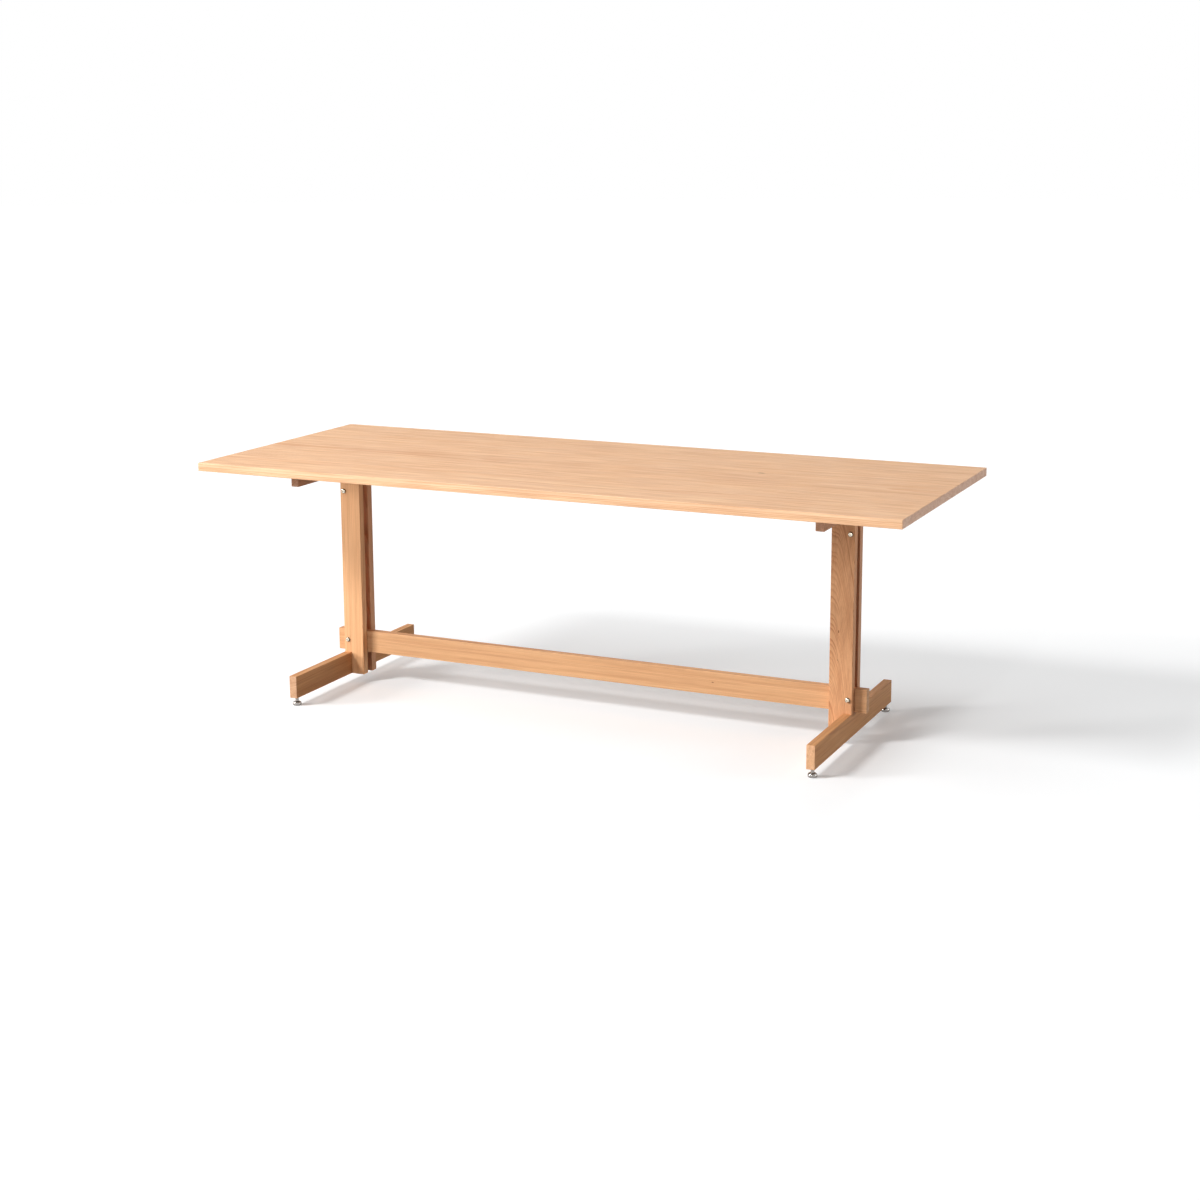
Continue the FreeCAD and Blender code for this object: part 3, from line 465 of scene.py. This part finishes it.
def make_worked_metal_group():
    """Fine tool marks and faint smudges on worked metal. The marks are noise over a position, scaled so that
    they run the right way."""
    mark_seed = 1.0
    smudge_seed, smudge_scale, smudge_start, smudge_full = 5.0, 140.0, 0.4, 0.75
    rough_by_smudges = 0.6
    graph, given, result = new_group(
        "worked_metal",
        {"Position": "vector", "Marks": "vector", "Bright": "colour", "Dull": "colour", "Smoothest": "value",
         "Roughest": "value"},
        {"Colour": "colour", "Roughness": "value", "Height": "value"},
    )
    marks = graph.noise(graph.vector("MULTIPLY", given["Position"], given["Marks"]), mark_seed, detail=3.0)
    smudges = graph.noise(given["Position"], smudge_seed, scale=smudge_scale, detail=3.0)
    dull = graph.smooth(smudges, smudge_start, smudge_full)
    graph.put(result["Colour"], graph.blend(dull, given["Bright"], given["Dull"]))
    spread = graph.math("SUBTRACT", given["Roughest"], given["Smoothest"])
    uneven = graph.math("ADD", graph.math("MULTIPLY", dull, rough_by_smudges),
                        graph.math("MULTIPLY", marks, 1.0 - rough_by_smudges))
    graph.put(result["Roughness"], graph.math("MULTIPLY_ADD", spread, uneven, given["Smoothest"]))
    graph.put(result["Height"], marks)


# The rim of a head, where painted shade darkens it, by the length along its profile in the units of its UV
# map
RIM_START = (0.072, 0.096)
RIM_END = (0.124, 0.130)
# Colour of the painted shade on a head's rim
RIM_SHADE_COLOUR = srgb(70, 54, 40)
MARK_RELIEF = 0.6


def steel(name, bright, dull, smoothest, roughest, marks, depth, turned, shaded_rim=False):
    """Makes a steel finish. On a turned piece the marks follow its UV map round the axis. A head's rim may be
    darkened with painted shade where it meets the timber."""
    material, graph, surface = new_material(name)
    coordinates = graph.node("ShaderNodeTexCoord").outputs
    finish = use_group(graph, "worked_metal", {
        "Position": coordinates["UV" if turned else "Object"], "Marks": marks, "Bright": bright, "Dull": dull,
        "Smoothest": smoothest, "Roughest": roughest})
    bump = graph.node("ShaderNodeBump", {
        "Height": finish["Height"], "Distance": depth, "Strength": MARK_RELIEF})
    colour = finish["Colour"]
    # Painted shade: the head's rim is drawn dark where it meets the timber, as if in shadow.
    if shaded_rim:
        length = graph.node("ShaderNodeSeparateXYZ", {"Vector": coordinates["UV"]}).outputs["Y"]
        rim = graph.math("MULTIPLY", graph.smooth(length, *RIM_START),
                         graph.smooth(length, *RIM_END, 1.0, 0.0))
        colour = graph.blend(rim, colour, RIM_SHADE_COLOUR)
    shader = graph.node("ShaderNodeBsdfPrincipled", {
        "Base Color": colour, "Metallic": 1.0, "Roughness": finish["Roughness"], "Normal": bump.outputs[0]})
    graph.put(surface, shader.outputs[0])
    return material


make_worked_metal_group()
GLIDE_STEEL = steel("glide_steel", srgb(168, 164, 160), srgb(134, 130, 126), 0.08, 0.20,
                    marks=(2.0, 4000.0, 1.0), depth=0.00001, turned=True)
BOLT_STEEL = steel("bolt_steel", srgb(224, 216, 198), srgb(196, 186, 166), 0.16, 0.34,
                   marks=(3.0, 5000.0, 1.0), depth=0.00001, turned=True, shaded_rim=True)
SPACER_STEEL = steel("spacer_steel", srgb(196, 190, 178), srgb(160, 154, 142), 0.20, 0.40,
                     marks=(3.0, 5000.0, 1.0), depth=0.00001, turned=True)
PLAIN_STEEL = steel("plain_steel", srgb(178, 178, 174), srgb(140, 139, 134), 0.28, 0.46,
                    marks=(2500.0, 2500.0, 600.0), depth=0.00002, turned=False)
for node in ("top_screws", "screw_washers", "glide_inserts"):
    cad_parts[node].material_slots[0].material = PLAIN_STEEL


# Turned pieces

AROUND = 96
UV_PER_METRE = 10
SHARP_ANGLE = math.radians(32)


def arc(centre, radius, start, end, count):
    """Points of an arc of a profile, by its angles in degrees from the outward direction."""
    turn = np.radians(np.linspace(start, end, count))
    return np.stack([centre[0] + radius * np.cos(turn), centre[1] + radius * np.sin(turn)], 1)


def profile(*stretches):
    """Joins points and arcs of (radius, height) into one profile."""
    return np.concatenate([np.atleast_2d(np.array(stretch, float)) for stretch in stretches])


def turn_profile(outline):
    """Carries a profile round its axis: every point goes round a circle of its radius at its height. Gives
    the radii, the heights and the angles on a grid of profile points by angles."""
    angles = np.arange(AROUND) * 2 * math.pi / AROUND
    radii = np.repeat(outline[:, :1], AROUND, axis=1)
    heights = np.repeat(outline[:, 1:], AROUND, axis=1)
    return radii, heights, np.broadcast_to(angles, radii.shape)


def hexagon(angles, flats):
    """Radius of a hexagon at an angle: half its width across flats over the cosine of the angle to the
    nearest flat's middle."""
    sixth = math.pi / 3
    return flats / 2 / np.cos(np.mod(angles, sixth) - sixth / 2)


def rings_of(radii, heights, angles, origin, axes):
    """Places a grid of radii, heights and angles in space: across the first two axes and along the third."""
    across, up, along = (np.array(axis, float) for axis in axes)
    radial = np.cos(angles)[..., None] * across + np.sin(angles)[..., None] * up
    return np.array(origin) + radii[..., None] * radial + heights[..., None] * along


def turned_piece(name, grids, closed_loop=False):
    """Makes one mesh from grids of points, a grid for each solid. Neighbouring rings are joined all the way
    round. A solid runs from pole to pole and closes with fans, or its last ring meets its first as in a tube.
    The UV map holds the turn round the axis and the length along the profile, in tenths of a metre."""
    points, faces, maps = [], [], []
    count = 0
    for grid in grids:
        columns = grid.shape[1]
        steps = np.linalg.norm(np.diff(grid, axis=0), axis=2).mean(1)
        length = np.concatenate([[0.0], np.cumsum(steps)]) * UV_PER_METRE
        body = grid if closed_loop else grid[1:-1]
        index = np.arange(body.shape[0] * columns).reshape(-1, columns) + count
        lower = index if closed_loop else index[:-1]
        upper = np.roll(index, -1, axis=0) if closed_loop else index[1:]
        quads = np.stack([lower, np.roll(lower, -1, 1), np.roll(upper, -1, 1), upper], 2).reshape(-1, 4)
        turns = np.arange(columns) / columns
        low_length = length if closed_loop else length[1:-2]
        high_length = np.append(length[1:], length[-1]) if closed_loop else length[2:-1]
        u_low, v_low = np.meshgrid(turns, low_length)
        u_high, v_high = np.meshgrid(turns + 1 / columns, high_length)
        corners = np.stack([u_low, v_low, u_high, v_low, u_high, v_high, u_low, v_high], 2)
        points.append(body.reshape(-1, 3))
        faces += quads.tolist()
        maps.append(corners.reshape(-1, 2))
        count += body.shape[0] * columns
        if closed_loop:
            continue
        points.append(grid[[0, -1], 0])
        ends = ((count, np.roll(index[0], -1), index[0], length[[0, 1]]),
                (count + 1, index[-1], np.roll(index[-1], -1), length[[-1, -2]]))
        for pole, this, following, (v_pole, v_ring) in ends:
            faces += np.stack([np.full(columns, pole), this, following], 1).tolist()
            fan = np.stack([turns, np.full(columns, v_pole), turns, np.full(columns, v_ring),
                            turns + 1 / columns, np.full(columns, v_ring)], 1)
            maps.append(fan.reshape(-1, 2))
        count += 2
    mesh = bpy.data.meshes.new(name)
    mesh.from_pydata(np.concatenate(points).tolist(), [], faces)
    layer = mesh.uv_layers.new(name="turned")
    layer.data.foreach_set("uv", np.concatenate(maps).ravel())
    mesh.shade_smooth()
    mesh.set_sharp_from_angle(angle=SHARP_ANGLE)
    piece = bpy.data.objects.new(name, mesh)
    bpy.context.scene.collection.objects.link(piece)
    return piece


def stand_for(piece, node, body, material):
    """Gives a new piece its finish and lets it stand for a node of the frame."""
    piece.data.materials.append(material)
    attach(piece, body)
    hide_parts(node)


# Directions of a turned piece: two across its axis and one along it
UPRIGHT = ((1, 0, 0), (0, 1, 0), (0, 0, 1))
TO_BACK = ((1, 0, 0), (0, 0, -1), (0, 1, 0))
TO_FRONT = ((1, 0, 0), (0, 0, 1), (0, -1, 0))

# Bolts and sleeve nuts
HEAD_RADIUS = 7 * MM
HEAD_HEIGHT = 4.4 * MM
HEAD_RIM = 1.2 * MM
HEAD_EDGE = 0.1 * MM
CROWN_RADIUS = 3.7 * MM
SOCKET_FLATS = 5 * MM
SOCKET_DEPTH = 2.4 * MM
SOCKET_EDGE = 0.15 * MM
SHANK_RADIUS = 4 * MM
SLEEVE_RADIUS = 5 * MM
SLEEVE_BORE_RADIUS = 4.05 * MM
SLEEVE_BORE_DEPTH = 14 * MM
SPACER_CLEARANCE = 0.2 * MM
SPACER_EDGE = 0.3 * MM
CHAMFER = 0.5 * MM


def domed_head():
    """Profile of a head from its socket outwards: a hexagon hole, a flat crown, a dome that is a quarter of
    an ellipse, and a straight rim. The height runs from the crown into the timber."""
    dome_points = 14
    turn = np.radians(np.linspace(90, 0, dome_points))
    dome = np.stack([CROWN_RADIUS + (HEAD_RADIUS - CROWN_RADIUS) * np.cos(turn),
                     (HEAD_HEIGHT - HEAD_RIM) * (1 - np.sin(turn))], 1)
    hole = SOCKET_FLATS / 2
    return profile((0, SOCKET_DEPTH), (hole, SOCKET_DEPTH), (hole, SOCKET_EDGE), (hole + SOCKET_EDGE, 0),
                   dome, (HEAD_RADIUS, HEAD_HEIGHT - HEAD_EDGE), (HEAD_RADIUS - HEAD_EDGE, HEAD_HEIGHT))


def head_and_shank(shank):
    """Turns a head with its shank and makes the socket's rings six sided."""
    radii, heights, angles = turn_profile(profile(domed_head(), shank))
    for ring, wider in ((1, 0.0), (2, 0.0), (3, 2 * SOCKET_EDGE)):
        radii[ring] = hexagon(angles[ring], SOCKET_FLATS + wider)
    return radii, heights, angles


def make_bolts():
    """Makes the four through bolts from the front of the front posts."""
    low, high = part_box("through_bolts")
    length = high.y - low.y
    shank = profile((SHANK_RADIUS, HEAD_HEIGHT), (SHANK_RADIUS, length - CHAMFER),
                    (SHANK_RADIUS - CHAMFER, length), (0, length))
    shape = head_and_shank(shank)
    places = [(x, low.y, z) for x in (low.x + HEAD_RADIUS, high.x - HEAD_RADIUS)
              for z in (low.z + HEAD_RADIUS, high.z - HEAD_RADIUS)]
    piece = turned_piece("bolt_set", [rings_of(*shape, place, TO_BACK) for place in places])
    stand_for(piece, "through_bolts", "table", BOLT_STEEL)


def make_sleeve_nuts():
    """Makes the four sleeve nuts, which take the bolts from the back of the back posts."""
    low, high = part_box("sleeve_nuts")
    length = high.y - low.y
    bore_end = length - SLEEVE_BORE_DEPTH
    sleeve = profile((SLEEVE_RADIUS, HEAD_HEIGHT), (SLEEVE_RADIUS, length), (SLEEVE_BORE_RADIUS, length),
                     (SLEEVE_BORE_RADIUS, bore_end), (0, bore_end))
    shape = head_and_shank(sleeve)
    places = [(x, high.y, z) for x in (low.x + HEAD_RADIUS, high.x - HEAD_RADIUS)
              for z in (low.z + HEAD_RADIUS, high.z - HEAD_RADIUS)]
    piece = turned_piece("sleeve_nut_set", [rings_of(*shape, place, TO_FRONT) for place in places])
    stand_for(piece, "sleeve_nuts", "table", BOLT_STEEL)


def make_spacers():
    """Makes the two spacers between the posts: a tube wall with broken corners."""
    low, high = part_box("post_spacers")
    outer = (high.z - low.z) / 2
    inner = SHANK_RADIUS + SPACER_CLEARANCE
    length = high.y - low.y
    edge = SPACER_EDGE
    wall = profile((inner + edge, 0), (outer - edge, 0), (outer, edge), (outer, length - edge),
                   (outer - edge, length), (inner + edge, length), (inner, length - edge), (inner, edge))
    shape = turn_profile(wall)
    places = [(x, low.y, (low.z + high.z) / 2) for x in (low.x + outer, high.x - outer)]
    piece = turned_piece("spacer_set", [rings_of(*shape, place, TO_BACK) for place in places],
                         closed_loop=True)
    stand_for(piece, "post_spacers", "table", SPACER_STEEL)


# Levelling glides
PAD_DOME = 6 * MM
PAD_FOOT = 3.2 * MM
PAD_NECK_RADIUS = 3.6 * MM
PAD_NECK_EDGE = 0.3 * MM
PAD_POCKET_RADIUS = 5.1 * MM
PAD_POCKET_LOW = 3.9 * MM
PAD_POCKET_HIGH = 6.8 * MM
STEM_NECK_RADIUS = 3.5 * MM
STEM_FLANGE = 2.5 * MM
STEM_SHOULDER = 8.3 * MM
STEM_SHOULDER_EDGE = 0.4 * MM
FLATS_START = 9.8 * MM
FLATS_END = 15.8 * MM
FLATS_HALF_WIDTH = 4 * MM
FLATS_STEP = 0.02 * MM
THREAD_PITCH = 1.5 * MM
THREAD_DEPTH = 0.9 * MM
THREAD_CREST = 0.875
THREAD_ROOT = 0.25
THREAD_ROWS = 12
STEM_TIP = 1 * MM


def make_pad(corner):
    """Makes the pad of one glide: a domed disc with a pocket that holds the stem's flange."""
    foot_points, dome_points = 14, 24
    node = f"{corner}_glide_pad"
    low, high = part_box(node)
    radius = (high.x - low.x) / 2
    height = high.z - low.z
    outline = profile(
        (0, 0),
        arc((radius - PAD_FOOT, PAD_FOOT), PAD_FOOT, -90, 0, foot_points),
        arc((radius - PAD_DOME, height - PAD_DOME), PAD_DOME, 0, 90, dome_points),
        (PAD_NECK_RADIUS + PAD_NECK_EDGE, height), (PAD_NECK_RADIUS, height - PAD_NECK_EDGE),
        (PAD_NECK_RADIUS, PAD_POCKET_HIGH), (PAD_POCKET_RADIUS, PAD_POCKET_HIGH),
        (PAD_POCKET_RADIUS, PAD_POCKET_LOW), (0, PAD_POCKET_LOW))
    origin = ((low.x + high.x) / 2, (low.y + high.y) / 2, low.z)
    piece = turned_piece(f"{corner}_glide_foot", [rings_of(*turn_profile(outline), origin, UPRIGHT)])
    stand_for(piece, node, f"{corner}_pad", GLIDE_STEEL)


def thread_groove(heights, angles):
    """Depth of a thread at a height and an angle, from 0 on the crest to 1 in the root. The crest climbs one
    pitch in a turn, the flanks are straight, and crest and root are flat. Where they end is given by the
    nearness to the crest's middle, which goes from 0 to 1."""
    turn = np.mod(heights / THREAD_PITCH - angles / (2 * math.pi), 1.0)
    nearness = np.abs(2 * turn - 1)
    return np.clip((THREAD_CREST - nearness) / (THREAD_CREST - THREAD_ROOT), 0, 1)


def make_stem(corner):
    """Makes the stem of one glide: a flange and a neck in the pad, two flats for a wrench, and a thread."""
    node = f"{corner}_glide_stem"
    low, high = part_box(node)
    radius = (high.x - low.x) / 2
    length = high.z - low.z
    rows = round((length - STEM_TIP - FLATS_END) / THREAD_PITCH * THREAD_ROWS)
    threaded = np.linspace(FLATS_END, length - STEM_TIP, rows)
    smallest_cosine = 1e-6
    outline = profile(
        (0, 0), (radius, 0), (radius, STEM_FLANGE), (STEM_NECK_RADIUS, STEM_FLANGE),
        (STEM_NECK_RADIUS, STEM_SHOULDER), (radius - STEM_SHOULDER_EDGE, STEM_SHOULDER),
        (radius, STEM_SHOULDER + STEM_SHOULDER_EDGE),
        (radius, FLATS_START - FLATS_STEP), (radius, FLATS_START), (radius, FLATS_END),
        np.stack([np.full(rows, radius), threaded + FLATS_STEP], 1),
        (radius - STEM_TIP, length), (0, length))
    radii, heights, angles = turn_profile(outline)
    flats = (heights >= FLATS_START - FLATS_STEP / 2) & (heights <= FLATS_END + FLATS_STEP / 2)
    flat_radius = FLATS_HALF_WIDTH / np.maximum(np.abs(np.cos(angles)), smallest_cosine)
    radii = np.where(flats, np.minimum(radii, flat_radius), radii)
    run_in = np.clip((heights - FLATS_END - FLATS_STEP) / THREAD_PITCH, 0, 1)
    run_out = np.clip((length - heights) / THREAD_PITCH, 0, 1)
    on_thread = (heights > FLATS_END) & (heights < length)
    depth = THREAD_DEPTH * np.minimum(run_in, run_out) * thread_groove(heights, angles)
    radii = np.where(on_thread, radii - depth, radii)
    origin = ((low.x + high.x) / 2, (low.y + high.y) / 2, low.z)
    piece = turned_piece(f"{corner}_glide_screw", [rings_of(radii, heights, angles, origin, UPRIGHT)])
    stand_for(piece, node, f"{corner}_stem", GLIDE_STEEL)


make_bolts()
make_sleeve_nuts()
make_spacers()
for face in FACES:
    for side in SIDES:
        make_pad(f"{face}_{side}")
        make_stem(f"{face}_{side}")


# Floor, light and camera

WHITE = (1.0, 1.0, 1.0, 1.0)
FLOOR_RINGS = (1.0, 3.0, 8.0, 40.0)
FLOOR_SPOKES = 64
FLOOR_COLOUR = (0.972, 0.987, 1.0, 1.0)
# Brightness of the floor as it is seen, as it lights the table, and where it is plain white
FLOOR_SEEN = 1.06
FLOOR_BOUNCE = 0.35
FLOOR_PLAIN = 1.12
# Shares of plain white over the shadow: near the table, behind it and at its right
FLOOR_LIFT_NEAR = 0.20
FLOOR_LIFT = 0.42
FLOOR_LIFT_RIGHT = 0.45
# The direction that counts as backward
FLOOR_BACKWARD = (-0.2, 1.0, 0.0)
# Distances from the middle of the table over which the shares change and the shadow fades out
FLOOR_LIFT_BEHIND = (0.1, 0.5)
FLOOR_LIFT_ASIDE = (0.8, 1.05)
FLOOR_FADE_BEHIND = (0.7, 2.0)
FLOOR_FADE_AROUND = (3.0, 6.0)
SURROUND_LEFT = 0.20
SURROUND_RIGHT = 0.07
SURROUND_EDGE = 0.7
LAMPS = {
    "key": {"direction": (-0.85, -0.95, 1.06), "distance": 14.0, "size": 3.0, "level": 0.66},
    "left": {"direction": (-0.80, -0.54, 0.26), "distance": 14.0, "size": 3.4, "level": 0.70},
    "front": {"direction": (0.0, -0.99, 0.12), "distance": 14.0, "size": 3.4, "level": 0.16},
    "above": {"direction": (-0.3, -0.3, 1.0), "distance": 6.0, "size": 3.0, "level": 0.17},
    "back": {"direction": (-0.25, 0.95, 0.18), "distance": 10.0, "size": 3.0, "level": 0.22,
             "mirrored": False},
    "right": {"direction": (0.95, 0.28, 0.16), "distance": 8.0, "size": 2.8, "level": 0.25},
}
CAMERA_PLACE = (2.385, -5.008, 1.669)
CAMERA_TURN = math.radians(25.10)
CAMERA_DIP = math.radians(10.84)
CAMERA_ROLL = math.radians(0.27)
CAMERA_LENS = 59.15
CAMERA_SHIFT = -0.08


def seen_as_white(graph):
    """One for rays from the camera and for mirrored and bent ones, nothing for light that spreads."""
    rays = graph.node("ShaderNodeLightPath").outputs
    bounced = graph.math("MAXIMUM", rays["Is Glossy Ray"], rays["Is Transmission Ray"])
    return graph.math("MAXIMUM", rays["Is Camera Ray"], bounced)


def make_floor():
    """Makes the white floor, a disc of rings. It keeps the table's shadow, fades to plain white behind it and
    far away, and can be looked through from below."""
    spokes = np.arange(FLOOR_SPOKES) * 2 * math.pi / FLOOR_SPOKES
    distance = np.array(FLOOR_RINGS)
    ring = np.stack([np.cos(spokes), np.sin(spokes), np.zeros(FLOOR_SPOKES)], 1)
    points = np.concatenate([(distance[:, None, None] * ring).reshape(-1, 3), np.zeros((1, 3))])
    index = np.arange(distance.size * FLOOR_SPOKES).reshape(-1, FLOOR_SPOKES)
    following = np.roll(index, -1, 1)
    quads = np.stack([index[:-1], index[1:], following[1:], following[:-1]], 2).reshape(-1, 4)
    fan = np.stack([np.full(FLOOR_SPOKES, distance.size * FLOOR_SPOKES), index[0], following[0]], 1)
    mesh = bpy.data.meshes.new("floor")
    mesh.from_pydata(points.tolist(), [], quads.tolist() + fan.tolist())
    floor = bpy.data.objects.new("floor", mesh)
    bpy.context.scene.collection.objects.link(floor)
    material, graph, surface = new_material("white_floor")
    position = graph.node("ShaderNodeTexCoord").outputs["Object"]
    backward = graph.vector("DOT_PRODUCT", position, FLOOR_BACKWARD)
    rightward = graph.vector("DOT_PRODUCT", position, (1.0, 0.0, 0.0))
    lift = graph.math("MAXIMUM", graph.smooth(backward, *FLOOR_LIFT_BEHIND, FLOOR_LIFT_NEAR, FLOOR_LIFT),
                      graph.smooth(rightward, *FLOOR_LIFT_ASIDE, 0.0, FLOOR_LIFT_RIGHT))
    fade = graph.math("MAXIMUM", graph.smooth(backward, *FLOOR_FADE_BEHIND),
                      graph.smooth(graph.vector("LENGTH", position), *FLOOR_FADE_AROUND))
    away = graph.math("MULTIPLY_ADD", graph.math("SUBTRACT", 1.0, lift), fade, lift)
    seen = seen_as_white(graph)
    level = graph.smooth(seen, 0.0, 1.0, FLOOR_BOUNCE, FLOOR_SEEN)
    colour = graph.brighten(FLOOR_COLOUR, level)
    lit = graph.node("ShaderNodeBsdfDiffuse", {"Color": colour}).outputs[0]
    plain = graph.node("ShaderNodeEmission", {"Color": WHITE, "Strength": FLOOR_PLAIN}).outputs[0]
    share = graph.math("MULTIPLY", away, seen)
    shown = graph.node("ShaderNodeMixShader", {0: share, 1: lit, 2: plain}).outputs[0]
    below = graph.math("MULTIPLY", graph.node("ShaderNodeNewGeometry").outputs["Backfacing"],
                       graph.node("ShaderNodeLightPath").outputs["Is Camera Ray"])
    clear = graph.node("ShaderNodeBsdfTransparent").outputs[0]
    graph.put(surface, graph.node("ShaderNodeMixShader", {0: below, 1: shown, 2: clear}).outputs[0])
    mesh.materials.append(material)


def make_world():
    """Makes a white surround: plain white to look at, and as light dimmer from left to right."""
    world = bpy.data.worlds.new("surround")
    world.use_nodes = True
    world.node_tree.nodes.clear()
    graph = Graph(world.node_tree)
    direction = graph.node("ShaderNodeTexCoord").outputs["Generated"]
    rightward = graph.node("ShaderNodeSeparateXYZ", {"Vector": direction}).outputs["X"]
    light = graph.smooth(rightward, -SURROUND_EDGE, SURROUND_EDGE, SURROUND_LEFT, SURROUND_RIGHT)
    strength = graph.math("MAXIMUM", light, seen_as_white(graph))
    background = graph.node("ShaderNodeBackground", {"Color": WHITE, "Strength": strength})
    output = graph.node("ShaderNodeOutputWorld")
    graph.put(output.inputs["Surface"], background.outputs[0])
    bpy.context.scene.world = world


def make_lamp(name, direction, distance, size, level, mirrored=True):
    """Makes a large soft lamp, aimed at the middle of the table. Its power gives the level on a face square
    to it, where 1 shows a colour as written. A lamp that isn't mirrored leaves no highlight."""
    light = bpy.data.lights.new(name, "AREA")
    light.shape = "DISK"
    light.size = size
    light.energy = level * math.pi ** 2 * distance ** 2
    lamp = bpy.data.objects.new(name, light)
    towards = Vector(direction).normalized()
    low, high = cad_box
    lamp.location = (low + high) / 2 + towards * distance
    lamp.visible_glossy = mirrored
    lamp.rotation_mode = "QUATERNION"
    lamp.rotation_quaternion = towards.to_track_quat("Z", "Y")
    bpy.context.scene.collection.objects.link(lamp)


def make_camera():
    """Makes the camera at the photograph's viewing angle."""
    lens = bpy.data.cameras.new("camera")
    lens.lens = CAMERA_LENS
    lens.shift_y = CAMERA_SHIFT
    camera = bpy.data.objects.new("camera", lens)
    turn = (Matrix.Rotation(CAMERA_TURN, 4, "Z") @ Matrix.Rotation(math.pi / 2 - CAMERA_DIP, 4, "X")
            @ Matrix.Rotation(-CAMERA_ROLL, 4, "Z"))
    camera.matrix_world = Matrix.Translation(CAMERA_PLACE) @ turn
    bpy.context.scene.collection.objects.link(camera)
    bpy.context.scene.camera = camera


make_floor()
make_world()
for lamp_name, setting in LAMPS.items():
    make_lamp(lamp_name, **setting)
make_camera()
bpy.context.scene.view_settings.view_transform = "Standard"
